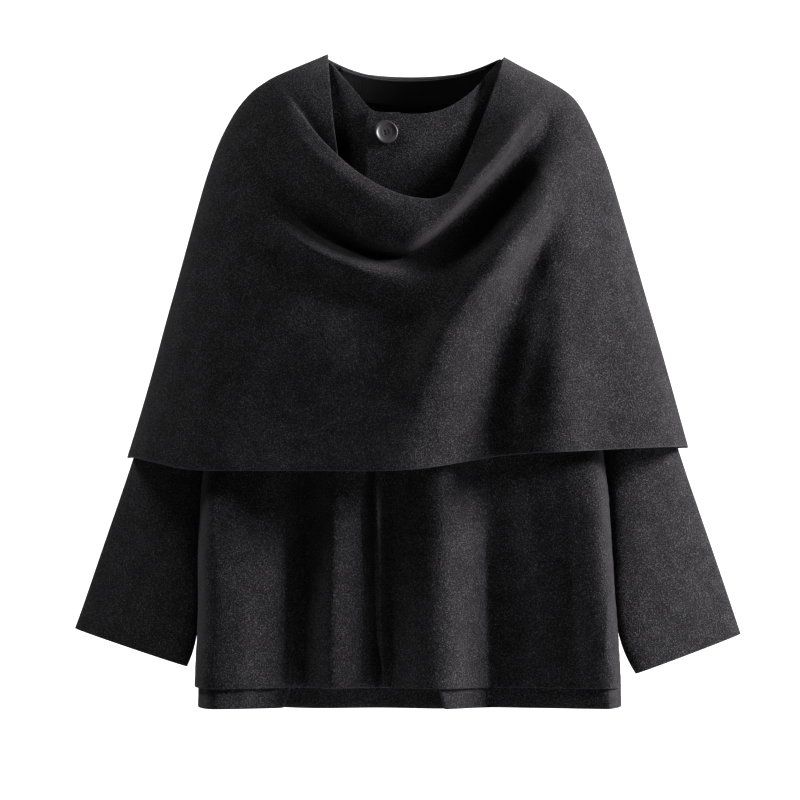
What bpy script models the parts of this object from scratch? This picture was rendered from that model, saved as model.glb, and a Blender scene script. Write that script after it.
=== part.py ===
# Wool cape jacket, filled out as on a figure but with no wearer.
#
# Metres, +Z up, the front faces -Y and +X is the wearer's left. The origin is where the wearer's
# shoulders carry the jacket: midway between them, 31 mm below the jacket's neck points.
# Every panel is a lofted sheet of points, worked out from the section and fold tables below, with a
# Solidify modifier for the thickness of the cloth. Tables are in millimetres.

import math

import bmesh
import bpy
from mathutils import Matrix, Vector

MM = 0.001

# ---------------------------------------------------------------- driving sizes, in millimetres
WALL = 2.6                  # felted wool coating
FACING_WALL = 1.2           # lighter cloth of the back neck facing
SEAM = 0.3                  # gap between two pieces that are sewn together
SEAM_HALF = 0.25            # what each piece gives up at an edge-to-edge seam
NECK_RELIEF = 0.85          # and how much more at the neck points, where four pieces meet

NECK_POINT_Z = 31.0         # jacket's neck points, where shoulder seam and neckline meet
SHOULDER_END_Z = -10.0      # outer end of the shoulder seam
UNDERARM_Z = -215.0
FOLD_TOP_Z = -250.0         # the body's folds start here
FRONT_HEM_Z = -655.0
BACK_HEM_Z = -677.0
BACK_HEM_DIP = 12.0         # it hangs this much lower in the middle of the back
ROUNDNESS = 0.85            # 1 is an ellipse, less is boxier
FRONT_HEM_ROUNDNESS = 0.45
CAPE_ROUNDNESS = 0.72
CAPE_BACK_ROUNDNESS = 0.62

FRONT_NECK_DROP = 64.0      # from the neck points to the lowest point of the front neckline
BACK_NECK_DROP = 19.0
NECK_LOWEST_X = 5.0
NECK_SLANT = 1.25           # fall of the right front's neckline for each millimetre across
ARMHOLE_SCOOP = 30.0        # degrees that the armhole eats into the front and into the back

LAP_OUT = 4.6               # how far the left front stands off the right one that it laps over
UNDERLAP_TOP_Z = -600.0     # the back hem wraps forward under the fronts below this height
UNDERLAP_INSET = 5.6
UNDERLAP_RIGHT_END = -125.0
UNDERLAP_LEFT_END = 31.0

BUTTON_X = -25.0
BUTTON_Z = -55.0
BUTTON_RADIUS = 12.8
BUTTON_THICK = 4.2
BUTTON_RIM = 2.2
BUTTON_DISH = 1.1
BUTTON_HOLE_RADIUS = 1.1
BUTTON_HOLE_SPREAD = 2.5
BUTTON_TURN = math.radians(-14)     # it hangs a little turned on its thread

BODY_SIDE_ARC = 190.0       # from a side seam to the middle of the back, along the cloth
BACK_NECK_COLUMNS = 14      # how finely the back is divided along its neckline and each shoulder
BACK_SHOULDER_COLUMNS = 8
FRONT_NECK_COLUMNS = 10
FRONT_SHOULDER_COLUMNS = 10
SKIRT_ROWS = 7              # rows from the underlaps up to the underarm
ARMHOLE_ROWS = 10
FACING_DEPTH = 35.0
SLEEVE_HEAD_OUT = 5.0       # the sleeve head starts this far outside the armhole's edge
CAPE_CUT_GAP = 5.0          # how far the cape's cut edge floats off the jacket front
CAPE_BACK_HEM_Z = -412.0
CAPE_BACK_NECK_DROP = 22.0


def table(columns, *rows):
    """Turn rows of numbers into dictionaries with named columns."""
    names = columns.split()
    return [dict(zip(names, row)) for row in rows]


# ---------------------------------------------------------------- sections, top to bottom
BODY = table(
    "z right left front back",
    (31, 90, 98, 10, 12),
    (18, 118, 124, 46, 46),
    (-4, 152, 156, 70, 70),
    (-34, 167, 169, 88, 86),
    (-80, 168, 168, 103, 99),
    (-140, 163, 161, 113, 107),
    (-215, 160, 157, 119, 112),
    (-262, 174, 170, 121, 114),
    (-330, 194, 189, 126, 118),
    (-410, 219, 213, 132, 124),
    (-520, 227, 220, 138, 130),
    (-655, 234, 229, 144, 138),
    (-710, 236, 231, 146, 140),
)

CAPE = table(
    "z right left front back",
    (36, 90, 98, 14, 15),
    (26, 115, 114, 48, 48),
    (10, 150, 145, 78, 69),
    (-13, 181, 180, 100, 89),
    (-54, 206, 203, 122, 105),
    (-128, 231, 229, 142, 119),
    (-221, 257, 255, 152, 131),
    (-308, 280, 280, 158, 150),
    (-404, 309, 307, 164, 169),
    (-440, 318, 317, 167, 176),
)

# How far the two front edges reach across the middle at each height.
OPENING = table(
    "z right_edge left_edge",
    (-28, -10, -46),
    (-38, -11, -48),
    (-120, -16, -48),
    (-185, -39, -46),
    (-228, -51, -45),
    (-330, -48, -40),
    (-420, -42, -36),
    (-600, -38, -30),
    (-655, -25, -28),
)

# Each sleeve ring runs from an outer to an inner point, seen from the front.
SLEEVE = table(
    "outer_x outer_z inner_x inner_z half_depth back_set",
    (203, -66, 173, -224, 57, 2),
    (222, -132, 177, -238, 58, 4),
    (246, -210, 184, -268, 58, 10),
    (272, -300, 199, -334, 57, 22),
    (302, -398, 221, -412, 54, 33),
    (338, -500, 228.5, -522, 51, 34),
    (362, -570, 232.5, -600, 47, 33),
)
RIGHT_CUFF = table(
    "outer_x outer_z inner_x inner_z half_depth back_set",
    (372, -597, 245, -636, 45, 31),
)
LEFT_CUFF = table(
    "outer_x outer_z inner_x inner_z half_depth back_set",
    (373, -603, 254, -644, 45, 31),
)
SLEEVE_LEFT_SHIFT = -6.0    # the left sleeve hangs a little closer in

# ---------------------------------------------------------------- folds
# at: place across the panel, -1 the right side seam, 0 the middle, 1 the left side seam.
# out: how far it stands out (or in) at the hem; folds run out towards the chest.
RIGHT_FRONT_FOLDS = table(
    "at width out",
    (-0.87, 0.14, 42),
    (-0.50, 0.10, -29),
    (-0.15, 0.13, -30),
)
LEFT_FRONT_FOLDS = table(
    "at width out",
    (-0.14, 0.12, -38),
    (0.13, 0.09, 11),
    (0.37, 0.11, -35),
    (0.53, 0.12, -15),
    (0.91, 0.14, 43),
)
BACK_FOLDS = table(
    "at width out",
    (-0.78, 0.15, 12),
    (-0.46, 0.13, -13),
    (-0.14, 0.15, 15),
    (0.17, 0.12, -12),
    (0.45, 0.14, 14),
    (0.76, 0.13, -8),
)
CAPE_BACK_FOLDS = table(
    "at width out",
    (-0.66, 0.14, 9),
    (-0.40, 0.13, -9),
    (-0.10, 0.16, 12),
    (0.20, 0.13, -9),
    (0.48, 0.14, 11),
    (0.74, 0.12, -7),
)
# Soft folds that run down the front cape below its swags: x in the middle of that stretch and how
# far the fold leans outwards for each millimetre up.
CAPE_LOWER_FOLDS = table(
    "x lean width top_z out",
    (-205, 0.1, 46, -170, 5),
    (-125, 0.0, 40, -200, -6),
    (28, 0.38, 34, -160, 18),
    (103, 0.28, 24, -100, -30),
    (163, 0.0, 28, -105, 24),
)
CAPE_LOWER_MIDDLE_Z = -310.0

# The front cape's swags, from the hem up and over the lip. Each is a U with its ends on the side
# seams: z at both ends, x and z at its lowest point, and how sharply each arm climbs. Then come how
# far it stands out at the right arm, the middle and the left arm, and the rows of cloth below it.
SWAGS = table(
    "name right_z mid_x mid_z left_z right_climb left_climb out_right out_mid out_left rows",
    ("low", -318, 0, -362, -312, 2.0, 2.0, 0, 0, 0, 3),
    ("third_ridge", -130, -10, -304, -118, 2.0, 1.4, 12, 3, 4, 2),
    ("second_valley", -92, 0, -262, -70, 2.2, 1.7, -11, -5, 16, 2),
    ("second_ridge", -58, 4, -226, -26, 2.3, 2.2, 15, 12, 36, 2),
    ("first_valley", -22, -10, -201, -8, 2.5, 1.15, -20, -16, -28, 2),
    ("band_edge", -6, -8, -188, -2, 2.4, 1.2, 2, 16, -8, 1),
    ("band", 4, 6, -160, 2, 2.1, 1.4, 15, 27, 12, 2),
    ("lip", 10, 22, -131, 5, 2.0, 1.55, 14, 22, 24, 2),
)
SWAG_ARMS = {"right": (0.45, 0.92), "left": (0.55, 1.08)}   # where a swag stands out most, and ends
INSIDE_ROWS = (3, 2, 2)     # rows from the lip over, down inside the cowl, and to the cut edge
CUT_EDGE = table(
    "right_z mid_x mid_z left_z right_climb left_climb",
    (36, 5, -163, 33, 6.5, 1.6),
)[0]

COLOURS = {
    "charcoal_wool": (0.030, 0.030, 0.033),
    "dark_facing": (0.018, 0.018, 0.020),
    "black_button": (0.020, 0.020, 0.022),
}


# ---------------------------------------------------------------- numbers
def ease(value):
    """Smooth step from 0 to 1."""
    value = min(1.0, max(0.0, value))
    return value * value * (3 - 2 * value)


def lerp(start, end, part):
    return start + (end - start) * part


def read(rows, column, at, key="z"):
    """Smooth value of a column between the rows of a table, by monotone cubic pieces."""
    keys = [row[key] for row in rows]
    values = [row[column] for row in rows]
    if keys[0] > keys[-1]:
        keys.reverse()
        values.reverse()
    at = min(keys[-1], max(keys[0], at))
    index = max(i for i in range(len(keys) - 1) if keys[i] <= at or i == 0)

    def slope(i):
        if i == 0 or i == len(keys) - 1:
            j = min(i, len(keys) - 2)
            return (values[j + 1] - values[j]) / (keys[j + 1] - keys[j])
        before = (values[i] - values[i - 1]) / (keys[i] - keys[i - 1])
        after = (values[i + 1] - values[i]) / (keys[i + 1] - keys[i])
        return 0.0 if before * after <= 0 else 2 * before * after / (before + after)

    span = keys[index + 1] - keys[index]
    t = (at - keys[index]) / span
    hermite = (
        (2 * t ** 3 - 3 * t ** 2 + 1) * values[index]
        + (t ** 3 - 2 * t ** 2 + t) * span * slope(index)
        + (3 * t ** 2 - 2 * t ** 3) * values[index + 1]
        + (t ** 3 - t ** 2) * span * slope(index + 1)
    )
    return hermite


def spline(knots, part):
    """Catmull-Rom curve through knots, with part running from 0 to 1."""
    place = part * (len(knots) - 1)
    index = min(int(place), len(knots) - 2)
    t = place - index
    before = knots[max(index - 1, 0)]
    start, end = knots[index], knots[index + 1]
    after = knots[min(index + 2, len(knots) - 1)]
    return 0.5 * (
        2 * start
        + (end - before) * t
        + (2 * before - 5 * start + 4 * end - after) * t ** 2
        + (3 * start - before - 3 * end + after) * t ** 3
    )


def folds_out(folds, place):
    return sum(fold["out"] * math.exp(-((place - fold["at"]) / fold["width"]) ** 2) for fold in folds)


# ---------------------------------------------------------------- jacket body
def fold_growth(z):
    """Folds hang from below the underarms and open towards the hem."""
    down = max(0.0, (FOLD_TOP_Z - z) / (FOLD_TOP_Z - FRONT_HEM_Z))
    return down ** 0.5 * ease(down / 0.45)


def reach(rows, z, side):
    return read(rows, "left" if side > 0 else "right", z)


def seam_relief(z):
    return SEAM_HALF + NECK_RELIEF * ease(z / 16)


def ring_point(rows, angle, z, face, roundness, out=0.0):
    """Point of a section: face -1 is the front, 1 the back; the angle is 0 in the middle."""
    side = 1 if angle > 0 else -1
    depth = read(rows, "front" if face < 0 else "back", z)
    x = reach(rows, z, side) * math.sin(angle)
    y = depth * max(0.0, math.cos(angle)) ** roundness + out + seam_relief(z)
    return Vector((x, face * y, z))


def front_point(side, angle, z, inset=0.0):
    """Middle of the cloth of a front; the left one laps over the right one near the neck."""
    folds = LEFT_FRONT_FOLDS if side > 0 else RIGHT_FRONT_FOLDS
    across = math.sin(angle)
    out = folds_out(folds, across) * fold_growth(z) * ease((1 - abs(across)) / 0.12)
    roundness = lerp(ROUNDNESS, FRONT_HEM_ROUNDNESS, fold_growth(z))
    point = ring_point(BODY, angle, z, -1, roundness, out)
    if side > 0:
        lap = ease((50 - point.x) / 50) * ease((z + 340) / 70)
        point.y -= LAP_OUT * lap
    if inset:
        span = 0.03
        along = front_point(side, angle + span, z) - front_point(side, angle - span, z)
        point -= Vector((along.y, -along.x, 0)).normalized() * inset
    return point


def back_point(angle, z):
    across = math.sin(angle)
    out = folds_out(BACK_FOLDS, across) * fold_growth(z) * ease((1 - abs(across)) / 0.15)
    return ring_point(BODY, angle, z, 1, ROUNDNESS, out)


def edge_angle(side, z):
    edge = read(OPENING, "left_edge" if side > 0 else "right_edge", z)
    return math.asin(edge / reach(BODY, z, 1 if edge > 0 else -1))


def side_heights():
    """Heights shared by fronts and back along the side seam and armhole, from the front hem up."""
    low = [FRONT_HEM_Z, (FRONT_HEM_Z + UNDERLAP_TOP_Z) / 2]
    skirt = [lerp(UNDERLAP_TOP_Z, UNDERARM_Z, r / SKIRT_ROWS) for r in range(SKIRT_ROWS)]
    hole = [0.5 - 0.5 * math.cos(math.pi * r / ARMHOLE_ROWS) for r in range(ARMHOLE_ROWS + 1)]
    return low + skirt + [lerp(UNDERARM_Z, SHOULDER_END_Z, up) for up in hole]


def side_angle(z):
    """The side seam lies at a right angle, and the armhole scoops in from it."""
    up = max(0.0, (z - UNDERARM_Z) / (SHOULDER_END_Z - UNDERARM_Z))
    return math.radians(90 - ARMHOLE_SCOOP * math.sin(math.pi * up))


def front_neck_z(side, x):
    """Height of the front neckline: round on the left, and on the right a straight slant to the lap."""
    lowest = NECK_POINT_Z - FRONT_NECK_DROP
    if side < 0:
        slant = NECK_POINT_Z - NECK_SLANT * (x + BODY[0]["right"])
        return max(slant, lowest + 2)
    if x < NECK_LOWEST_X:
        return lowest + 4 * ((NECK_LOWEST_X - x) / 50) ** 2
    part = (x - NECK_LOWEST_X) / (BODY[0]["left"] - NECK_LOWEST_X)
    return lowest + FRONT_NECK_DROP * part ** 2.3


def back_neck_z(x, rows, top, drop):
    side = 1 if x > 0 else -1
    share = min(1.0, abs(x) / reach(rows, top, side))
    return top - drop * (1 - share ** 2.4)


def angle_at(rows, x, z):
    share = x / reach(rows, z, 1 if x > 0 else -1)
    return math.asin(min(1.0, max(-1.0, share)))


def even_steps(point_at, start, end, count, samples=160):
    """Parameters between start and end whose points lie evenly along the curve."""
    marks = [lerp(start, end, i / samples) for i in range(samples + 1)]
    points = [point_at(mark) for mark in marks]
    lengths = [0.0]
    for first, second in zip(points, points[1:]):
        lengths.append(lengths[-1] + (second - first).length)
    steps = []
    index = 0
    for i in range(count + 1):
        goal = lengths[-1] * i / count
        while index < samples - 1 and lengths[index + 1] < goal:
            index += 1
        part = (goal - lengths[index]) / (lengths[index + 1] - lengths[index])
        steps.append(lerp(marks[index], marks[index + 1], min(1.0, part)))
    return steps


def coons(bottom, top, left, right):
    """Blend four edges, given as lists of (angle, z), into rows of (angle, z) from the bottom up.

    The rows follow the heights of the left edge."""
    columns, rows = len(bottom) - 1, len(left) - 1
    low, high = left[0][1], left[-1][1]
    grid = []
    for r in range(rows + 1):
        v = (left[r][1] - low) / (high - low)
        line = []
        for c in range(columns + 1):
            u = c / columns
            pair = []
            for axis in (0, 1):
                along = lerp(bottom[c][axis], top[c][axis], v) + lerp(left[r][axis], right[r][axis], u)
                hem = lerp(bottom[0][axis], bottom[-1][axis], u)
                neck = lerp(top[0][axis], top[-1][axis], u)
                pair.append(along - lerp(hem, neck, v))
            line.append(tuple(pair))
        grid.append(line)
    return grid


def front_plan(side):
    """Angle and height of every point of a front: hem, middle edge, side with armhole, neck and shoulder."""
    columns = FRONT_NECK_COLUMNS + FRONT_SHOULDER_COLUMNS
    edge_top_x = OPENING[0]["left_edge" if side > 0 else "right_edge"]
    edge_top_z = front_neck_z(side, edge_top_x)
    turn = math.radians(90) * side
    hem_edge = edge_angle(side, FRONT_HEM_Z)
    plain = even_steps(lambda a: ring_point(BODY, a, FRONT_HEM_Z, -1, ROUNDNESS), hem_edge, turn, columns)
    folded = even_steps(lambda a: front_point(side, a, FRONT_HEM_Z), hem_edge, turn, columns)
    hem = [lerp(first, second, 0.15) for first, second in zip(plain, folded)]
    bottom = [(angle, FRONT_HEM_Z) for angle in hem]
    middle = []
    outer = []
    for height in side_heights():
        part = (height - FRONT_HEM_Z) / (SHOULDER_END_Z - FRONT_HEM_Z)
        z = lerp(FRONT_HEM_Z, edge_top_z, part)
        middle.append((edge_angle(side, z), z))
        outer.append((side_angle(height) * side, height))
    top = []
    neck_x = BODY[0]["left" if side > 0 else "right"] * side
    for c in range(columns + 1):
        if c <= FRONT_NECK_COLUMNS:
            x = lerp(edge_top_x, neck_x, c / FRONT_NECK_COLUMNS)
            z = front_neck_z(side, x)
            top.append((angle_at(BODY, x, z), z))
        else:
            down = (c - FRONT_NECK_COLUMNS) / FRONT_SHOULDER_COLUMNS
            top.append((turn, lerp(NECK_POINT_Z, SHOULDER_END_Z, down)))
    return coons(bottom, top, middle, outer)


def front_grid(side):
    return [[front_point(side, angle, z) for angle, z in line] for line in front_plan(side)]


def beyond(angle, end, side):
    """True for a column that lies clearly between the underlap's free end and the side seam."""
    return (angle - angle_at(BODY, end, FRONT_HEM_Z)) * side > math.radians(3.5)


def underlap_rows(side, heights):
    """The back's hem where it wraps forward: the front's own columns, moved in, from the seam on."""
    plan = front_plan(side)
    end = UNDERLAP_LEFT_END if side > 0 else UNDERLAP_RIGHT_END
    rows = []
    for z in heights:
        up = max(0.0, (z - FRONT_HEM_Z) / (plan[2][-1][1] - FRONT_HEM_Z))
        corner = ease((BACK_HEM_Z + 12 - z) / 14) * math.radians(2.5)
        stop = angle_at(BODY, end, FRONT_HEM_Z) + corner * side
        angles = [lerp(low[0], high[0], up) for low, high in zip(plan[0], plan[2])]
        kept = [angle for angle, low in zip(angles[:-1], plan[0]) if beyond(low[0], end, side)]
        rows.append([front_point(side, angle, z, UNDERLAP_INSET) for angle in [stop] + kept])
    return rows


def back_grid():
    """The back with its two underlaps: columns beyond the side seams exist in the lowest rows only."""
    columns = BACK_NECK_COLUMNS + 2 * BACK_SHOULDER_COLUMNS
    right_turn, left_turn = math.radians(-90), math.radians(90)
    hem = even_steps(lambda a: back_point(a, BACK_HEM_Z), right_turn, left_turn, columns)
    bottom = [(angle, BACK_HEM_Z - BACK_HEM_DIP * math.cos(angle)) for angle in hem]
    heights = [BACK_HEM_Z] + side_heights()
    left_side = [(side_angle(z), z) for z in heights]
    right_side = [(-angle, z) for angle, z in left_side]
    top = []
    for c in range(columns + 1):
        along_neck = (c - BACK_SHOULDER_COLUMNS) / BACK_NECK_COLUMNS
        if along_neck < 0:
            top.append((right_turn, lerp(SHOULDER_END_Z, NECK_POINT_Z, c / BACK_SHOULDER_COLUMNS)))
        elif along_neck <= 1:
            x = lerp(-BODY[0]["right"], BODY[0]["left"], along_neck)
            z = back_neck_z(x, BODY, NECK_POINT_Z, BACK_NECK_DROP)
            top.append((angle_at(BODY, x, z), z))
        else:
            top.append((left_turn, lerp(SHOULDER_END_Z, NECK_POINT_Z, (columns - c) / BACK_SHOULDER_COLUMNS)))
    low_heights = [z for z in heights if z <= UNDERLAP_TOP_Z]
    right_lap = underlap_rows(-1, low_heights)
    left_lap = underlap_rows(1, low_heights)
    grid = []
    for r, line in enumerate(coons(bottom, top, right_side, left_side)):
        points = []
        for angle, z in line:
            point = back_point(angle, z)
            from_seam = BODY_SIDE_ARC * (1 - abs(angle) / left_turn)
            tuck = ease((22 - from_seam) / 22) * ease((UNDERLAP_TOP_Z + 18 - z) / 18)
            point.x -= math.copysign(UNDERLAP_INSET * tuck, angle)
            points.append(point)
        before = right_lap[r] if r < len(low_heights) else [None] * len(right_lap[0])
        after = left_lap[r] if r < len(low_heights) else [None] * len(left_lap[0])
        grid.append(before + points + list(reversed(after)))
    return grid, len(right_lap[0])


def facing_grid(back, right_lap):
    """Band inside the back neck, made from the back's own points, moved in."""
    inset = WALL / 2 + SEAM + FACING_WALL / 2 + 0.35
    first = right_lap + BACK_SHOULDER_COLUMNS
    columns = range(first + 1, first + BACK_NECK_COLUMNS)
    middle = first + BACK_NECK_COLUMNS // 2
    grid = []
    for r in range(len(back)):
        depth = (back[-1][middle] - back[r][middle]).length
        next_depth = (back[-1][middle] - back[min(r + 1, len(back) - 1)][middle]).length
        if next_depth >= FACING_DEPTH:
            continue
        below, above = back[r - 1], back[min(r + 1, len(back) - 1)]
        start = (depth - FACING_DEPTH) / (depth - next_depth) if depth > FACING_DEPTH else 0.0
        line = []
        for c in columns:
            across = back[r][c + 1] - back[r][c - 1]
            upward = above[c] - below[c]
            point = lerp(back[r][c], above[c], start)
            line.append(point - upward.cross(across).normalized() * inset)
        grid.append(line)
    return grid


# ---------------------------------------------------------------- sleeves
def armhole_loop(side):
    """Armhole from the end of the shoulder, down the front, round the underarm and up the back."""
    heights = side_heights()[-ARMHOLE_ROWS - 1:]
    front = [front_point(side, side_angle(z) * side, z) for z in reversed(heights)]
    back = [back_point(side_angle(z) * side, z) for z in heights[1:-1]]
    for end in (front[0], front[-1]):
        end.y = 0.0
    return front + back


def sleeve_grid(side, rows=13):
    """Rings from the armhole to the cuff, each starting at the top and going down the front."""
    shift = SLEEVE_LEFT_SHIFT if side > 0 else 0.0
    loop = armhole_loop(side)
    rings = [[point + Vector((SLEEVE_HEAD_OUT * side, 0, 0)) for point in loop]]
    for row in SLEEVE + (LEFT_CUFF if side > 0 else RIGHT_CUFF):
        outer = Vector(((row["outer_x"] + shift) * side, row["back_set"], row["outer_z"]))
        inner = Vector(((row["inner_x"] + shift) * side, row["back_set"], row["inner_z"]))
        middle, half = (outer + inner) / 2, (outer - inner) / 2
        ring = []
        for i in range(len(loop)):
            turn = 2 * math.pi * i / len(loop)
            ring.append(middle + half * math.cos(turn) + Vector((0, -row["half_depth"], 0)) * math.sin(turn))
        rings.append(ring)
    grid = []
    for r in range(rows + 1):
        grid.append([spline([ring[i] for ring in rings], 1 - r / rows) for i in range(len(loop))])
    return grid


# ---------------------------------------------------------------- cape
def cape_hem_z(x):
    """Front hem: level on the right, a little higher on the left, turned up at both corners."""
    level = lerp(-420, -401, ease((x + 20) / 160))
    level += 5 * ease((x - 120) / 180)
    corner = ease((-x - 225) / 90) * 13
    return level + corner


def swag_point(row, share):
    """x and z on a swag: share runs from -1, the right side seam, to 1, the left one."""
    side = 1 if share > 0 else -1
    end_z = row["left_z"] if side > 0 else row["right_z"]
    climb = row["left_climb"] if side > 0 else row["right_climb"]
    end_x = reach(CAPE, end_z, side) * side
    part = math.sin(abs(share) * math.pi / 2)
    x = lerp(row["mid_x"], end_x, part)
    z = lerp(row["mid_z"], end_z, part ** climb)
    return x, z, part


def cape_front_point(x, z, out):
    """Point of the front cape: out is how far it stands off the plain form of the section."""
    side = 1 if x > 0 else -1
    share = min(1.0, abs(x) / reach(CAPE, z, side))
    depth = read(CAPE, "front", z) * (1 - share ** 2) ** (CAPE_ROUNDNESS / 2)
    return Vector((x, -depth - out - seam_relief(z), z))


def lower_folds_out(x, z):
    share = min(1.0, abs(x) / reach(CAPE, z, 1 if x > 0 else -1))
    out = 0.0
    for fold in CAPE_LOWER_FOLDS:
        fold_x = fold["x"] + fold["lean"] * (z - CAPE_LOWER_MIDDLE_Z)
        growth = ease((fold["top_z"] - z) / 120)
        out += fold["out"] * growth * math.exp(-((x - fold_x) / fold["width"]) ** 2)
    return out * ease((1 - share) / 0.1)


def swag_out(row, share, part):
    side = "left" if share > 0 else "right"
    most, end = SWAG_ARMS[side]
    return lerp(row["out_mid"], row["out_" + side], ease(part / most)) * ease((end - part) / (end - most))


def cape_front_column(share):
    """Knots of one column, from the hem over the lip and down to the cut edge inside the cowl."""
    hem_side = 1 if share > 0 else -1
    hem_x = reach(CAPE, -410, hem_side) * math.sin(share * math.pi / 2)
    hem_z = cape_hem_z(hem_x)
    hem_x = reach(CAPE, hem_z, hem_side) * math.sin(share * math.pi / 2)
    knots = [cape_front_point(hem_x, hem_z, 0.0)]
    for row in SWAGS:
        x, z, part = swag_point(row, share)
        knots.append(cape_front_point(x, z, swag_out(row, share, part)))
    lip = knots[-1]
    x, z, part = swag_point(CUT_EDGE, share)
    pocket = ease((1 - part) / 0.16)
    on_jacket = ring_point(BODY, angle_at(BODY, x, z), z, -1, ROUNDNESS).y - CAPE_CUT_GAP - LAP_OUT
    on_shoulder = cape_front_point(x, z, 0).y
    cut = Vector((x, lerp(on_shoulder, on_jacket, pocket), z))
    inner = []
    for along, rise, back in ((0.30, 11.0, 0.0), (0.66, 5.0, 2.0)):
        point = lerp(lip, cut, along)
        round_over = ease((1 - part) / 0.35)
        point.z += rise * round_over * min(1.0, abs(lip.z - cut.z) / 45)
        on_shoulder = cape_front_point(point.x, point.z, 0).y
        point.y = lerp(on_shoulder, point.y + back * round_over, pocket)
        inner.append(point)
    return knots + inner + [cut]


def cape_shares(columns, crowding=1.3):
    """Places of the columns from -1 to 1, closer together towards the side seams."""
    shares = []
    for c in range(columns + 1):
        even = 2 * c / columns - 1
        shares.append(math.copysign(1 - (1 - abs(even)) ** crowding, even))
    return shares


def cape_front_grid(columns=40):
    lines = []
    steps = [row["rows"] for row in SWAGS] + list(INSIDE_ROWS)
    places = [knot + i / rows for knot, rows in enumerate(steps) for i in range(rows)] + [len(steps)]
    for share in cape_shares(columns):
        knots = cape_front_column(share)
        line = [spline(knots, place / len(steps)) for place in places]
        for point, place in zip(line, places):
            if place < len(SWAGS):
                point.y -= lower_folds_out(point.x, point.z)
        lines.append(line)
    for line in (lines[0], lines[-1]):
        for point in line:
            point.y = -seam_relief(point.z)
    return [[line[r] for line in lines] for r in range(len(places))]


def back_rows_up(part):
    """Height of a back row in its middle, as a part of the whole: rows are sparser near the hem."""
    return part ** 0.75


def cape_back_grid(front, columns=20):
    """Back cape: its rows start and end on the front cape's side edges, so that the seams meet."""
    grid = []
    middle_top = back_neck_z(0, CAPE, CAPE[0]["z"], CAPE_BACK_NECK_DROP)
    for r, front_row in enumerate(front):
        right_z, left_z = front_row[0].z, front_row[-1].z
        middle_z = lerp(CAPE_BACK_HEM_Z, middle_top, back_rows_up(r / (len(front) - 1)))
        line = []
        for share in cape_shares(columns):
            side_z = left_z if share > 0 else right_z
            z = lerp(middle_z, side_z, ease(abs(share)))
            angle = share * math.pi / 2
            growth = max(0.0, (-60 - z) / 350) ** 0.9
            out = folds_out(CAPE_BACK_FOLDS, math.sin(angle)) * growth * ease((1 - abs(share)) / 0.2)
            line.append(ring_point(CAPE, angle, z, 1, CAPE_BACK_ROUNDNESS, out))
        for end, mate in ((line[0], front_row[0]), (line[-1], front_row[-1])):
            end.x, end.y, end.z = mate.x, -mate.y, mate.z
        grid.append(line)
    return grid


# ---------------------------------------------------------------- objects
def make_material(name):
    material = bpy.data.materials.get(name) or bpy.data.materials.new(name)
    material.use_nodes = True
    shader = material.node_tree.nodes["Principled BSDF"]
    shader.inputs["Base Color"].default_value = COLOURS[name] + (1.0,)
    shader.inputs["Roughness"].default_value = 0.35 if "button" in name else 0.95
    shader.inputs["Metallic"].default_value = 0.0
    return material


def add_object(name, mesh, material, collection):
    thing = bpy.data.objects.new(name, mesh)
    collection.objects.link(thing)
    mesh.materials.append(make_material(material))
    return thing


def sheet_mesh(name, grid, closed=False):
    """Quads between the points of a grid whose missing points are None."""
    shape = bmesh.new()
    verts = [[shape.verts.new(point * MM) if point else None for point in line] for line in grid]
    for lower, upper in zip(verts, verts[1:]):
        count = len(lower) if closed else len(lower) - 1
        for i in range(count):
            j = (i + 1) % len(lower)
            corners = (lower[i], lower[j], upper[j], upper[i])
            if all(corners):
                shape.faces.new(corners)
    mesh = bpy.data.meshes.new(name)
    shape.to_mesh(mesh)
    shape.free()
    mesh.shade_smooth()
    return mesh


def add_cloth(name, grid, collection, wall=WALL, closed=False, material="charcoal_wool"):
    thing = add_object(name, sheet_mesh(name, grid, closed), material, collection)
    thickness = thing.modifiers.new("thickness of the cloth", "SOLIDIFY")
    thickness.thickness = wall * MM
    thickness.offset = 0.0
    return thing


def reversed_rows(grid):
    return [list(reversed(line)) for line in grid]


def add_button(collection):
    """A dished four-hole button: a turned profile with the holes cut through."""
    r, rim, t, dish = BUTTON_RADIUS, BUTTON_RIM, BUTTON_THICK, BUTTON_DISH
    profile = [
        (0, t - dish), (r - rim - 1.6, t - dish), (r - rim, t - 0.2), (r - rim + 0.5, t),
        (r - 0.8, t), (r, t - 0.9), (r, 1.4), (r - 1.6, 0), (0, 0),
    ]
    shape = bmesh.new()
    verts = [shape.verts.new((x * MM, 0, z * MM)) for x, z in profile]
    for first, second in zip(verts, verts[1:]):
        shape.edges.new((first, second))
    mesh = bpy.data.meshes.new("button")
    shape.to_mesh(mesh)
    shape.free()
    button = add_object("button", mesh, "black_button", collection)
    turned = button.modifiers.new("turned", "SCREW")
    turned.steps = turned.render_steps = 28
    turned.use_merge_vertices = True
    turned.merge_threshold = 0.00005

    angle = angle_at(BODY, BUTTON_X, BUTTON_Z)
    seat = front_point(1, angle, BUTTON_Z)
    span, rise = 0.05, 6.0
    across = front_point(1, angle + span, BUTTON_Z) - front_point(1, angle - span, BUTTON_Z)
    upward = front_point(1, angle, BUTTON_Z + rise) - front_point(1, angle, BUTTON_Z - rise)
    normal = across.cross(upward).normalized()
    upright = upward.normalized()
    frame = Matrix((upright.cross(normal), upright, normal)).transposed().to_4x4()
    frame = frame @ Matrix.Rotation(BUTTON_TURN, 4, "Y")
    lift = WALL / 2 + BUTTON_RADIUS * abs(math.sin(BUTTON_TURN)) - 0.2
    frame.translation = (seat + normal * lift) * MM
    button.matrix_world = frame
    return button


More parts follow.
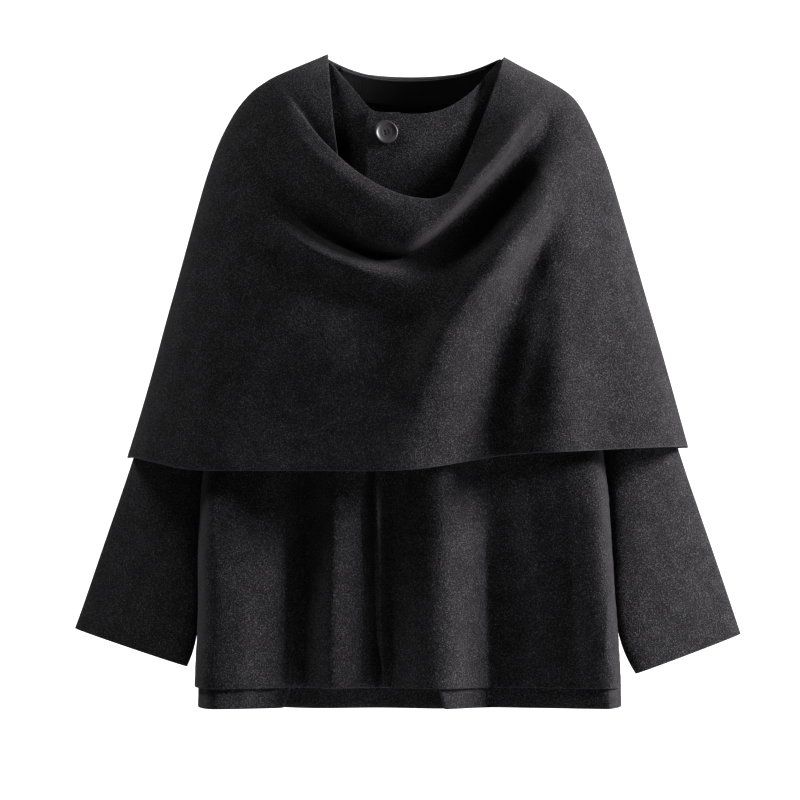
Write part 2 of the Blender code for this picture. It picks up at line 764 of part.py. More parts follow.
def cut_button_holes(button, cutters):
    for i in range(4):
        turn = math.pi / 4 + i * math.pi / 2
        bpy.ops.mesh.primitive_cylinder_add(vertices=10, radius=BUTTON_HOLE_RADIUS * MM, depth=20 * MM)
        hole = bpy.context.object
        hole.name = f"button_hole_{i + 1}"
        for owner in list(hole.users_collection):
            owner.objects.unlink(hole)
        cutters.objects.link(hole)
        spot = Vector((math.cos(turn), math.sin(turn), 0)) * BUTTON_HOLE_SPREAD * MM
        hole.matrix_world = button.matrix_world @ Matrix.Translation(spot)
        hole.hide_render = True
        hole.display_type = "WIRE"
        cut = button.modifiers.new(hole.name, "BOOLEAN")
        cut.operation = "DIFFERENCE"
        cut.object = hole


def main():
    for old in list(bpy.data.objects):
        bpy.data.objects.remove(old, do_unlink=True)
    jacket = bpy.data.collections.new("wool_cape_jacket")
    cutters = bpy.data.collections.new("cutters")
    bpy.context.scene.collection.children.link(jacket)
    bpy.context.scene.collection.children.link(cutters)

    add_cloth("front_left", front_grid(1), jacket)
    add_cloth("front_right", reversed_rows(front_grid(-1)), jacket)
    back, right_lap = back_grid()
    add_cloth("back", reversed_rows(back), jacket)
    facing = facing_grid(back, right_lap)
    add_cloth("back_neck_facing", reversed_rows(facing), jacket, FACING_WALL, material="dark_facing")
    add_cloth("sleeve_left", sleeve_grid(1), jacket, closed=True)
    add_cloth("sleeve_right", reversed_rows(sleeve_grid(-1)), jacket, closed=True)
    cape_front = cape_front_grid()
    add_cloth("cape_front", cape_front, jacket)
    add_cloth("cape_back", reversed_rows(cape_back_grid(cape_front)), jacket)
    button = add_button(jacket)
    cut_button_holes(button, cutters)


main()
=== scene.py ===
# Looks of a charcoal wool cape jacket, filled out with nobody in it.
# Metres, +Z up, the front faces -Y and +X is the wearer's left. Sizes named Mm are millimetres.
import math

import bmesh
import bpy
import numpy as np
from mathutils import Matrix, Vector


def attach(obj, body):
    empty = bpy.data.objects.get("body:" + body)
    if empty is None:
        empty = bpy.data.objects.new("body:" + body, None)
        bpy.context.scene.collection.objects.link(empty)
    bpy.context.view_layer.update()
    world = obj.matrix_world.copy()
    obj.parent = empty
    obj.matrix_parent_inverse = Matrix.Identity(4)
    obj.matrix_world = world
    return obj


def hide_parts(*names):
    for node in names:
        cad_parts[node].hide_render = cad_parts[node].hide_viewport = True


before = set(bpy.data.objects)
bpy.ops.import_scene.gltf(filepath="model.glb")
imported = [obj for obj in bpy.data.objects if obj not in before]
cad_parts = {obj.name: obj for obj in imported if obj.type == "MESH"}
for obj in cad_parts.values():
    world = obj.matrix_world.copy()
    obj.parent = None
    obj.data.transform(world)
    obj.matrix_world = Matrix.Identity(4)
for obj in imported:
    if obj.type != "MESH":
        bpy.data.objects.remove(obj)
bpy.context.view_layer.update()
mm = 0.001
print("frame loaded:", ", ".join(sorted(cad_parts)))


# Small helpers.

def table(columns, *rows):
    names = columns.split()
    return [dict(zip(names, row)) for row in rows]


def ease(value):
    value = min(1.0, max(0.0, value))
    return value * value * (3 - 2 * value)


def lerp(start, end, part):
    return start + (end - start) * part


def linearColour(hexText):
    channels = [int(hexText[i:i + 2], 16) / 255 for i in (0, 2, 4)]
    curve = [c / 12.92 if c <= 0.04045 else ((c + 0.055) / 1.055) ** 2.4 for c in channels]
    return (*curve, 1.0)


def deselectAll():
    if bpy.context.object and bpy.context.object.mode != "OBJECT":
        bpy.ops.object.mode_set(mode="OBJECT")
    bpy.ops.object.select_all(action="DESELECT")


def makeActive(thing):
    deselectAll()
    thing.select_set(True)
    bpy.context.view_layer.objects.active = thing


def applyModifiers(thing):
    makeActive(thing)
    for modifier in list(thing.modifiers):
        bpy.ops.object.modifier_apply(modifier=modifier.name)


def settle(thing):
    # puts the piece's place into its mesh, as a CAD node has it
    makeActive(thing)
    bpy.ops.object.transform_apply(location=True, rotation=True, scale=True)


# Materials.

def addNode(tree, kind, settings={}, values={}, links={}):
    node = tree.nodes.new(kind)
    for name, value in settings.items():
        setattr(node, name, value)
    for socket, value in values.items():
        node.inputs[socket].default_value = value
    for socket, source in links.items():
        tree.links.new(source, node.inputs[socket])
    return node


def newMaterial(name):
    material = bpy.data.materials.new(name)
    material.use_nodes = True
    tree = material.node_tree
    shader = tree.nodes["Principled BSDF"]
    place = addNode(tree, "ShaderNodeTexCoord").outputs["Object"]
    return material, tree, shader, place


wool = {
    "deepDyeAndShadeHex": "19191a",        # dark dyed fibres, partly painted shade down in the nap
    "bodyHex": "29292a",        # the cloth's overall charcoal
    "paleFibreAndGlintHex": "4a494c",       # pale fibres on top, partly painted highlight where they catch the light
    "rimHighlightHex": "39383b",         # painted highlight: the light line that the cut rim catches
    "fibreMm": 1.3,             # a clump of fibres, since a single one is too fine to show at this size
    "flockMm": 3.2,             # where clumps lie closer together
    "mottleMm": 22.0,           # uneven milling of the felt
    "bumpMm": 1.2,
    "sheenHex": "d6d3d8",
}


def makeWool():
    # milled wool coating: a matt felt whose open nap glints in side light and goes dead in shadow
    material, tree, shader, place = newMaterial("milled_wool_coating")
    clumps = addNode(tree, "ShaderNodeTexNoise", {"noise_dimensions": "3D"},
                     {"Scale": 1 / (wool["fibreMm"] * mm), "Detail": 2.0, "Roughness": 0.6}, {"Vector": place})
    flocks = addNode(tree, "ShaderNodeTexNoise", {"noise_dimensions": "3D"},
                     {"Scale": 1 / (wool["flockMm"] * mm), "Detail": 3.0, "Distortion": 1.0}, {"Vector": place})
    mottle = addNode(tree, "ShaderNodeTexNoise", {"noise_dimensions": "3D"},
                     {"Scale": 1 / (wool["mottleMm"] * mm), "Detail": 2.0}, {"Vector": place})
    # the clumps that raise the bump also set the colour: darker where they sink, partly dyed fibres and partly
    # painted shade in the nap
    dyeAndNapShade = addNode(tree, "ShaderNodeMapRange", {},
                    {"From Min": 0.36, "From Max": 0.64, "To Min": 0.0, "To Max": 1.0},
                    {"Value": clumps.outputs["Fac"]})
    ground = addNode(tree, "ShaderNodeMix", {"data_type": "RGBA"},
                     {6: linearColour(wool["deepDyeAndShadeHex"]), 7: linearColour(wool["bodyHex"])},
                     {0: dyeAndNapShade.outputs["Result"]})
    # paler where they stand up, partly pale fibres and partly painted highlight
    paleFibreAndGlint = addNode(tree, "ShaderNodeMapRange", {},
                   {"From Min": 0.53, "From Max": 0.7, "To Min": 0.0, "To Max": 0.8},
                   {"Value": clumps.outputs["Fac"]})
    flecked = addNode(tree, "ShaderNodeMix", {"data_type": "RGBA"},
                      {7: linearColour(wool["paleFibreAndGlintHex"])},
                      {0: paleFibreAndGlint.outputs["Result"], 6: ground.outputs[2]})
    milled = addNode(tree, "ShaderNodeMapRange", {},
                     {"From Min": 0.35, "From Max": 0.65, "To Min": 0.86, "To Max": 1.12},
                     {"Value": mottle.outputs["Fac"]})
    toned = addNode(tree, "ShaderNodeVectorMath", {"operation": "SCALE"}, {},
                    {0: flecked.outputs[2], "Scale": milled.outputs["Result"]})
    # painted highlight: the cut rim's colour is mixed towards the pale rim colour
    rim = addNode(tree, "ShaderNodeAttribute", {"attribute_name": "cutRimAndHighlight"})
    rimHighlighted = addNode(tree, "ShaderNodeMix", {"data_type": "RGBA"},
                       {7: linearColour(wool["rimHighlightHex"])},
                       {0: rim.outputs["Fac"], 6: toned.outputs["Vector"]})
    tree.links.new(rimHighlighted.outputs[2], shader.inputs["Base Color"])
    height = addNode(tree, "ShaderNodeMath", {"operation": "MULTIPLY_ADD"}, {1: 0.4},
                     {0: flocks.outputs["Fac"], 2: clumps.outputs["Fac"]})
    bump = addNode(tree, "ShaderNodeBump", {},
                   {"Strength": 0.9, "Distance": wool["bumpMm"] * mm}, {"Height": height.outputs["Value"]})
    tree.links.new(bump.outputs["Normal"], shader.inputs["Normal"])
    shader.inputs["Roughness"].default_value = 1.0
    shader.inputs["IOR"].default_value = 1.54
    shader.inputs["Specular IOR Level"].default_value = 0.08
    shader.inputs["Sheen Weight"].default_value = 0.06
    shader.inputs["Sheen Roughness"].default_value = 0.5
    shader.inputs["Sheen Tint"].default_value = linearColour(wool["sheenHex"])
    return material


facing = {
    "threadHex": "1d1d20",
    # painted shade between the twill's ribs
    "gapShadeHex": "0d0d0f",
    "threadMm": 0.9,            # drawn coarser than the real 0.3 mm thread, which wouldn't show
    "ribHeightMm": 0.15,
    "flatM": (0.235, 0.036),
    "areaM2": 0.0073,
}


def makeFacingCloth():
    # twill lining cloth: woven, flatter and smoother than the wool, with slanting ribs
    material, tree, shader, place = newMaterial("woven_twill_facing")
    ribs = addNode(tree, "ShaderNodeTexWave", {"wave_type": "BANDS", "bands_direction": "DIAGONAL"},
                   {"Scale": 0.314 / (facing["threadMm"] * mm), "Distortion": 0.6, "Detail": 1.0},
                   {"Vector": place})
    # darker in the hollows between the ribs: painted shade
    weave = addNode(tree, "ShaderNodeMix", {"data_type": "RGBA"},
                    {6: linearColour(facing["gapShadeHex"]), 7: linearColour(facing["threadHex"])},
                    {0: ribs.outputs["Fac"]})
    tree.links.new(weave.outputs[2], shader.inputs["Base Color"])
    bump = addNode(tree, "ShaderNodeBump", {},
                   {"Strength": 0.5, "Distance": facing["ribHeightMm"] * mm}, {"Height": ribs.outputs["Fac"]})
    tree.links.new(bump.outputs["Normal"], shader.inputs["Normal"])
    shader.inputs["Roughness"].default_value = 0.8
    shader.inputs["Sheen Weight"].default_value = 0.1
    return material


buttonFinish = {
    "faceHex": "1f1e21",
    "veinHex": "272629",
    "grainMm": 3.0,
    "wearMm": 0.6,
}


def makeButtonPlastic():
    # turned polyester resin: polished and a little streaky, with fine turning marks
    material, tree, shader, place = newMaterial("polished_polyester_resin")
    streak = addNode(tree, "ShaderNodeTexNoise", {"noise_dimensions": "3D"},
                     {"Scale": 1 / (buttonFinish["grainMm"] * mm), "Detail": 4.0, "Distortion": 1.5},
                     {"Vector": place})
    colour = addNode(tree, "ShaderNodeMix", {"data_type": "RGBA"},
                     {6: linearColour(buttonFinish["faceHex"]), 7: linearColour(buttonFinish["veinHex"])},
                     {0: streak.outputs["Fac"]})
    tree.links.new(colour.outputs[2], shader.inputs["Base Color"])
    wear = addNode(tree, "ShaderNodeTexNoise", {"noise_dimensions": "3D"},
                   {"Scale": 1 / (buttonFinish["wearMm"] * mm), "Detail": 2.0}, {"Vector": place})
    gloss = addNode(tree, "ShaderNodeMapRange", {}, {"To Min": 0.42, "To Max": 0.56},
                    {"Value": wear.outputs["Fac"]})
    tree.links.new(gloss.outputs["Result"], shader.inputs["Roughness"])
    shader.inputs["IOR"].default_value = 1.55
    return material


thread = {
    "plyHex": "29282b",
    # painted shade between the twisted plies
    "gapShadeHex": "1c1c1f",
    "twistMm": 0.35,
    "plyHeightMm": 0.08,
}


def makeThreadMaterial():
    # spun polyester sewing thread: twisted plies, dull with a slight glint
    material, tree, shader, place = newMaterial("twisted_sewing_thread")
    plies = addNode(tree, "ShaderNodeTexWave", {"wave_type": "BANDS", "bands_direction": "DIAGONAL"},
                    {"Scale": 0.314 / (thread["twistMm"] * mm)}, {"Vector": place})
    # darker in the grooves between the plies: painted shade
    colour = addNode(tree, "ShaderNodeMix", {"data_type": "RGBA"},
                     {6: linearColour(thread["gapShadeHex"]), 7: linearColour(thread["plyHex"])},
                     {0: plies.outputs["Fac"]})
    tree.links.new(colour.outputs[2], shader.inputs["Base Color"])
    bump = addNode(tree, "ShaderNodeBump", {}, {"Strength": 0.6, "Distance": thread["plyHeightMm"] * mm},
                   {"Height": plies.outputs["Fac"]})
    tree.links.new(bump.outputs["Normal"], shader.inputs["Normal"])
    shader.inputs["Roughness"].default_value = 0.6
    return material


woolCloth = makeWool()
facingCloth = makeFacingCloth()
resin = makeButtonPlastic()
sewingThread = makeThreadMaterial()
print("materials made")


# Camera, light and floor come before the pieces.

camera = {
    "pxMm": 1.1,                # one pixel of the photo is 1.1 mm on the jacket
    "imagePx": 800,
    "centreMm": (-11.0, -343.4),
    "lensMm": 300.0,
    "sensorMm": 36.0,
    "focusY": 0.0,              # depth at which the scale above holds
}


def makeCamera():
    wide = camera["pxMm"] * camera["imagePx"] * mm
    distance = wide * camera["lensMm"] / camera["sensorMm"]
    x, z = (v * mm for v in camera["centreMm"])
    bpy.ops.object.camera_add(location=(x, camera["focusY"] - distance, z), rotation=(math.pi / 2, 0, 0))
    view = bpy.context.object
    view.name = "camera_front"
    view.data.lens = camera["lensMm"]
    view.data.sensor_width = camera["sensorMm"]
    view.data.clip_end = 100.0
    bpy.context.scene.camera = view


lights = {
    "key": {"place": (3.2, -0.85, 1.0), "sizeM": 1.1, "watts": 385.0, "hex": "fffcfe"},
    "fill": {"place": (-2.1, -0.6, 2.6), "sizeM": 1.2, "watts": 126.0, "hex": "ffffff"},
    "backLeft": {"place": (1.3, 3.2, 1.6), "sizeM": 1.6, "watts": 60.0, "hex": "ffffff"},
    "backRight": {"place": (-1.2, 3.2, 1.2), "sizeM": 1.6, "watts": 25.0, "hex": "ffffff"},
}
lightAim = Vector((0, 0, -0.32))
sky = {"hex": "ffffff", "seen": 1.0, "fill": 0.03}     # white behind the jacket, but a low fill on it
studioFloor = {
    "z": -1.38,                 # the shoulders' height above it
    "radiusM": 2.6,             # small enough to leave the ground behind the jacket white
    "sides": 160,
    "darkHex": "f4f4f4",
    "paleHex": "fbfbfb",
    "grainMm": 1000 / 30,
}


def makeLights():
    for name, light in lights.items():
        bpy.ops.object.light_add(type="AREA", location=light["place"])
        lamp = bpy.context.object
        lamp.name = "light_" + name
        lamp.data.size = light["sizeM"]
        lamp.data.energy = light["watts"]
        lamp.data.color = linearColour(light["hex"])[:3]
        lamp.rotation_euler = (lightAim - lamp.location).to_track_quat("-Z", "Y").to_euler()
    world = bpy.data.worlds.new("pale_studio")
    world.use_nodes = True
    tree = world.node_tree
    backdrop = tree.nodes["Background"]
    backdrop.inputs["Color"].default_value = linearColour(sky["hex"])
    ray = addNode(tree, "ShaderNodeLightPath")
    strength = addNode(tree, "ShaderNodeMapRange", {}, {"To Min": sky["fill"], "To Max": sky["seen"]},
                       {"Value": ray.outputs["Is Camera Ray"]})
    tree.links.new(strength.outputs["Result"], backdrop.inputs["Strength"])
    bpy.context.scene.world = world
    bpy.context.scene.view_settings.view_transform = "Standard"
    bpy.context.scene.view_settings.look = "High Contrast"


def makeFloor():
    bpy.ops.mesh.primitive_circle_add(vertices=studioFloor["sides"], radius=studioFloor["radiusM"],
                                      fill_type="NGON", location=(0, 0, studioFloor["z"]))
    disc = bpy.context.object
    disc.name = "studio_floor"
    material, tree, shader, place = newMaterial("matt_painted_floor")
    grain = addNode(tree, "ShaderNodeTexNoise", {"noise_dimensions": "3D"},
                    {"Scale": 1 / (studioFloor["grainMm"] * mm)}, {"Vector": place})
    tint = addNode(tree, "ShaderNodeMix", {"data_type": "RGBA"},
                   {6: linearColour(studioFloor["darkHex"]), 7: linearColour(studioFloor["paleHex"])},
                   {0: grain.outputs["Fac"]})
    tree.links.new(tint.outputs[2], shader.inputs["Base Color"])
    shader.inputs["Roughness"].default_value = 0.9
    disc.data.materials.append(material)


makeCamera()
makeLights()
makeFloor()
print("studio set")


# Cloth pieces, each from its CAD solid's form.

clothShape = {
    "weldMm": 0.01,
    "sharpDegrees": 50.0,       # an edge turned more than this is the rim of the cut cloth
    "rimCrease": 0.8,           # how firmly the rim holds while the surface is smoothed
    "rimWidthMm": 3.4,          # the rim's faces are no wider than this
    # how far the painted highlight lightens the cut rim
    "rimHighlight": 0.6,
    "quadFaceDegrees": 60.0,
    "quadShapeDegrees": 70.0,
    "levels": 2,
    "smoothDegrees": 60.0,
    "seamReachMm": 7.0,         # rim points this near the seam plane are drawn onto it
    "seamGapMm": 0.1,
}


def copyPanel(node, name):
    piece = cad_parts[node].copy()
    piece.data = piece.data.copy()
    piece.name = name
    piece.data.name = name
    bpy.context.scene.collection.objects.link(piece)
    for owner in list(piece.users_collection):
        if owner is not bpy.context.scene.collection:
            owner.objects.unlink(piece)
    piece.data.materials.clear()
    makeActive(piece)
    bpy.ops.object.mode_set(mode="EDIT")
    bpy.ops.mesh.select_all(action="SELECT")
    bpy.ops.mesh.remove_doubles(threshold=clothShape["weldMm"] * mm)
    bpy.ops.mesh.tris_convert_to_quads(face_threshold=math.radians(clothShape["quadFaceDegrees"]),
                                       shape_threshold=math.radians(clothShape["quadShapeDegrees"]))
    bpy.ops.object.mode_set(mode="OBJECT")
    return piece


def markRim(piece):
    # firm edges along the cut rim, whose faces are remembered through the smoothing
    shape = bmesh.new()
    shape.from_mesh(piece.data)
    crease = shape.edges.layers.float.new("crease_edge")
    rimFace = shape.faces.layers.int.new("rimFace")
    rimVert = shape.verts.layers.float.new("cutRimAndHighlight")
    turned = math.radians(clothShape["sharpDegrees"])
    firm = [edge for edge in shape.edges if len(edge.link_faces) == 2 and edge.calc_face_angle() > turned]
    for edge in firm:
        edge[crease] = clothShape["rimCrease"]
        for vert in edge.verts:
            vert[rimVert] = 1.0
    narrow = clothShape["rimWidthMm"] * mm
    for face in shape.faces:
        sides = [edge for edge in face.edges if edge in firm]
        ends = [edge for edge in face.edges if edge not in firm]
        face[rimFace] = int(len(sides) >= 2 and all(edge.calc_length() < narrow for edge in ends))
    shape.to_mesh(piece.data)
    shape.free()


def paintRimHighlight(piece):
    # painted highlight: only the cut rim itself is lightened, not the cloth beside it
    shape = bmesh.new()
    shape.from_mesh(piece.data)
    rimFace = shape.faces.layers.int["rimFace"]
    rimVert = shape.verts.layers.float["cutRimAndHighlight"]
    for vert in shape.verts:
        onRim = [face[rimFace] for face in vert.link_faces]
        vert[rimVert] = clothShape["rimHighlight"] if onRim and all(onRim) else 0.0
    shape.to_mesh(piece.data)
    shape.free()


def closeSeam(piece, lowestZ):
    # two panels sewn together meet at the side plane, with only a hair between them
    reach = clothShape["seamReachMm"] * mm
    rim = piece.data.attributes["cutRimAndHighlight"].data
    for vert in piece.data.vertices:
        if rim[vert.index].value > 0.5 and abs(vert.co.y) < reach and vert.co.z > lowestZ:
            vert.co.y = math.copysign(clothShape["seamGapMm"] * mm, vert.co.y)


def smoothPanel(piece, levels):
    smooth = piece.modifiers.new("smoothed cloth", "SUBSURF")
    smooth.levels = smooth.render_levels = levels
    applyModifiers(piece)
    makeActive(piece)
    bpy.ops.object.shade_smooth_by_angle(angle=math.radians(clothShape["smoothDegrees"]))


# The body's upright section is wider than it is deep, which gives the way out of its surface.
bodySection = {"halfWidthM": 0.23, "halfDepthM": 0.14}
foldShape = {"pathPlaces": 36, "endReachMm": 30.0}
creaseShape = {"reachWidths": 3, "runOut": 0.15, "fade": 0.4}


def pathDistance(crease, x, z):
    # distance from a bowed path seen from the front, and how far along it the nearest place is
    start = Vector((crease["fromX"], crease["fromZ"]))
    end = Vector((crease["toX"], crease["toZ"]))
    run = end - start
    along = (Vector((x, z)) - start).dot(run) / run.length_squared
    part = min(1.0, max(0.0, along))
    side = Vector((-run.y, run.x)).normalized() * crease["bow"] * 4 * part * (1 - part)
    near = start + run * part + side
    return (Vector((x, z)) - near).length, along


def curvedPath(points):
    # a smooth line of places through the given ones, in millimetres
    count = foldShape["pathPlaces"]
    knots = [Vector(p) for p in points]
    knots = [knots[0] * 2 - knots[1]] + knots + [knots[-1] * 2 - knots[-2]]
    last = len(knots) - 3
    places = []
    for i in range(count + 1):
        part = i / count * last
        k = min(int(part), last - 1)
        t = part - k
        a, b, c, d = knots[k:k + 4]
        places.append(0.5 * (b * 2 + (c - a) * t + (a * 2 - b * 5 + c * 4 - d) * t ** 2
                             + (b * 3 - a - c * 3 + d) * t ** 3))
    return places


def foldPanel(piece, folds):
    # long folds that swing across the front: a ridge or trough along a curved path, steeper on one side
    spots = np.empty(len(piece.data.vertices) * 3)
    piece.data.vertices.foreach_get("co", spots)
    spots = spots.reshape(-1, 3)
    front = spots[:, 1] < 0
    flat = spots[:, [0, 2]] / mm
    out = np.zeros(len(spots))
    for fold in folds:
        places = np.array(curvedPath(fold["path"]))
        runs = np.gradient(places, axis=0)
        runs /= np.linalg.norm(runs, axis=1)[:, None]
        index = np.argmin(((flat[:, None] - places[None]) ** 2).sum(axis=2), axis=1)
        offset = flat - places[index]
        run = runs[index]
        aside = run[:, 0] * offset[:, 1] - run[:, 1] * offset[:, 0]
        beyond = (run * offset).sum(axis=1)
        along = index / (len(places) - 1)
        ends = np.clip(np.minimum(along, 1 - along) / fold["fade"], 0, 1)
        width = np.where(aside > 0, fold["above"], fold["below"])
        fade = ends ** 2 * (3 - 2 * ends)
        out += fold["out"] * fade * np.exp(-(aside / width) ** 2 - (beyond / foldShape["endReachMm"]) ** 2)
    outward = spots * (1 / bodySection["halfWidthM"] ** 2, 1 / bodySection["halfDepthM"] ** 2, 0)
    outward /= np.linalg.norm(outward, axis=1)[:, None] + 1e-9
    spots += outward * (out * front * mm)[:, None]
    piece.data.vertices.foreach_set("co", spots.ravel())
    piece.data.update()


def slidePanel(piece, slide):
    # draws the cloth up or down within its own surface, which carries the folds with it
    for vert in piece.data.vertices:
        x, y, z = vert.co / mm
        if y < 0:
            far = ((x - slide["x"]) / slide["reachX"]) ** 2 + ((z - slide["z"]) / slide["reachZ"]) ** 2
            vert.co.z += slide["up"] * math.exp(-far) * mm


relaxedCloth = {"topFadeMm": 50, "hemZ": -440, "hemFadeMm": 60, "sideMm": 8, "sideFadeMm": 25,
                "factor": 0.5, "rounds": 40}


def relaxPanel(piece, highestZ):
    # lets small kinks below a height run out, and keeps the hem, the side seams and the raw edges
    rim = piece.data.attributes["cutRimAndHighlight"].data
    group = piece.vertex_groups.new(name="relaxed")
    for vert in piece.data.vertices:
        x, y, z = vert.co / mm
        weight = ease((highestZ - z) / relaxedCloth["topFadeMm"])
        weight *= ease((z - relaxedCloth["hemZ"]) / relaxedCloth["hemFadeMm"])
        weight *= ease((-y - relaxedCloth["sideMm"]) / relaxedCloth["sideFadeMm"])
        if weight > 0 and rim[vert.index].value < 0.1:
            group.add([vert.index], weight, "REPLACE")
    relaxed = piece.modifiers.new("relaxed cloth", "SMOOTH")
    relaxed.vertex_group = group.name
    relaxed.factor = relaxedCloth["factor"]
    relaxed.iterations = relaxedCloth["rounds"]
    applyModifiers(piece)


def creasePanel(piece, creases, outward):
    # each crease is a soft trough or ridge: both faces of the cloth move together
    for vert in piece.data.vertices:
        x, y, z = vert.co / mm
        move = 0.0
        for crease in creases:
            if (y < 0) != (crease["face"] == "front"):
                continue
            distance, along = pathDistance(crease, x, z)
            if distance > creaseShape["reachWidths"] * crease["width"]:
                continue
            fade = ease((along + creaseShape["runOut"]) / creaseShape["fade"])
            fade *= ease((1 + creaseShape["runOut"] - along) / creaseShape["fade"])
            move += crease["out"] * fade * math.exp(-(distance / crease["width"]) ** 2)
        if move:
            vert.co += outward(vert.co) * move * mm
    piece.data.update()


def bodyOutward(point):
    wide, deep = bodySection["halfWidthM"], bodySection["halfDepthM"]
    return Vector((point.x / wide ** 2, point.y / deep ** 2, 0)).normalized()


sleeveAxis = {"topMm": (190, 4, -140), "cuffMm": (310, 32, -620)}


def sleeveOutward(point):
    side = 1 if point.x > 0 else -1
    top, cuff = (Vector((x * side, y, z)) * mm for x, y, z in sleeveAxis.values())
    run = cuff - top
    part = (point - top).dot(run) / run.length_squared
    return (point - top - run * part).normalized()


frontSide = {"fromShare": 0.78, "power": 2.2, "binMm": 12.0, "fromZ": -300, "overMm": 80}


def squareSide(piece):
    # below the cape, the panel stays wide until close to the side seam
    bins = {}
    for vert in piece.data.vertices:
        level = round(vert.co.z / mm / frontSide["binMm"])
        bins[level] = max(bins.get(level, 0.0), abs(vert.co.x))
    start = frontSide["fromShare"]
    for vert in piece.data.vertices:
        level = round(vert.co.z / mm / frontSide["binMm"])
        reach = (bins[level] + bins.get(level - 1, bins[level]) + bins.get(level + 1, bins[level])) / 3
        part = min(1.0, max(0.0, (abs(vert.co.x) / reach - start) / (1 - start)))
        pushed = start + (1 - start) * (1 - (1 - part) ** frontSide["power"])
        if part > 0 and vert.co.y < 0:
            below = ease((frontSide["fromZ"] - vert.co.z / mm) / frontSide["overMm"])
            across = abs(vert.co.x)
            vert.co.x = math.copysign(lerp(across, max(pushed * reach, across), below), vert.co.x)


sleeveTurn = {"slope": 0.6, "flatness": 0.5, "fromZ": -300.0, "overMm": 160.0}


def turnSleeve(piece):
    # the loose sleeve hangs half flat and turned, its front facing outwards
    side = 1 if piece.data.vertices[0].co.x > 0 else -1
    top, cuff = (Vector((x * side, y, z)) * mm for x, y, z in sleeveAxis.values())
    for vert in piece.data.vertices:
        part = (vert.co.z - top.z) / (cuff.z - top.z)
        beside = (vert.co.x - lerp(top.x, cuff.x, part)) * side
        middle = lerp(top.y, cuff.y, part)
        turned = middle + (vert.co.y - middle) * sleeveTurn["flatness"] + beside * sleeveTurn["slope"]
        below = ease((sleeveTurn["fromZ"] - vert.co.z / mm) / sleeveTurn["overMm"])
        vert.co.y = lerp(vert.co.y, turned, below)


def finishCloth(piece, node, material):
    piece.data.materials.append(material)
    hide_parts(node)
    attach(piece, "root")
    print(f"{piece.name}: {len(piece.data.polygons)} faces")


creaseColumns = "face fromX fromZ toX toZ bow width out"

# Creases in millimetres: a path seen from the front, how far it bows, its width and how far it
# stands out (a ridge) or in (a trough).
frontLeftCreases = table(
    creaseColumns,
    ("front", 150, -300, 196, -640, 8, 12, 2.2),
    ("front", 118, -330, 150, -560, -6, 14, -1.8),
    ("front", -37, -400, -29, -672, 1, 5, 17.0),
    ("front", 30, -420, 44, -650, 3, 9, 1.2),
    ("front", 84, -460, 92, -655, -2, 8, -1.0),
    ("front", 88, 22, 66, -22, 3, 4, -1.6),
    ("front", 80, 20, 50, -30, 4, 4, 1.2),
)
frontRightCreases = table(
    creaseColumns,
    ("front", -195, -320, -197, -560, 0, 34, 10.0),
    ("front", -119, -320, -118, -560, 0, 22, -10.0),
    ("front", -119, -380, -119, -690, 0, 9, -5.0),
    ("front", -84, -380, -86, -690, 0, 12, 6.0),
    ("front", -42, -380, -37, -690, 0, 8, -10.0),
    ("front", -140, -360, -150, -655, 3, 10, 1.5),
    ("front", -60, -430, -52, -650, 2, 7, -1.2),
    ("front", -88, 20, -70, -40, -2, 5, -1.0),
)
backCreases = table(
    creaseColumns,
    ("back", -150, -320, -190, -650, -8, 13, 1.8),
    ("back", -60, -360, -40, -670, 5, 12, -1.6),
    ("back", 30, -330, 52, -600, -4, 10, 1.5),
    ("back", 120, -380, 168, -660, 6, 14, -1.8),
    ("back", 180, -300, 206, -560, -4, 9, 1.2),
)
sleeveLeftCreases = table(
    creaseColumns,
    ("front", 214, -262, 286, -330, 10, 14, -2.2),
    ("front", 232, -318, 300, -360, 8, 11, 1.8),
    ("front", 262, -470, 318, -520, -8, 16, -1.4),
    ("front", 258, -600, 300, -622, 5, 5, 0.9),
    ("front", 262, -612, 318, -628, 4, 4, -0.8),
    ("back", 210, -250, 284, -320, 10, 14, -2.2),
    ("back", 240, -430, 312, -470, -8, 15, 1.6),
)
sleeveRightCreases = table(
    creaseColumns,
    ("front", -210, -250, -280, -312, -9, 14, -2.0),
    ("front", -236, -330, -300, -372, -8, 12, 1.6),
    ("front", -256, -480, -330, -540, 8, 18, -1.5),
    ("back", -206, -246, -286, -330, -10, 15, -2.2),
    ("back", -250, -440, -318, -500, 8, 14, 1.7),
)
capeFrontCreases = table(
    creaseColumns,
    ("front", -250, -240, -216, -420, -6, 20, 2.0),
    ("front", -150, -330, -138, -420, 3, 16, -1.6),
    ("front", 180, -250, 214, -405, 5, 18, -2.2),
    ("front", 246, -250, 276, -400, 4, 16, 1.8),
    ("front", -120, -262, -46, -316, -8, 13, 2.4),
    ("front", 40, -150, 92, -82, 6, 8, 1.2),
)

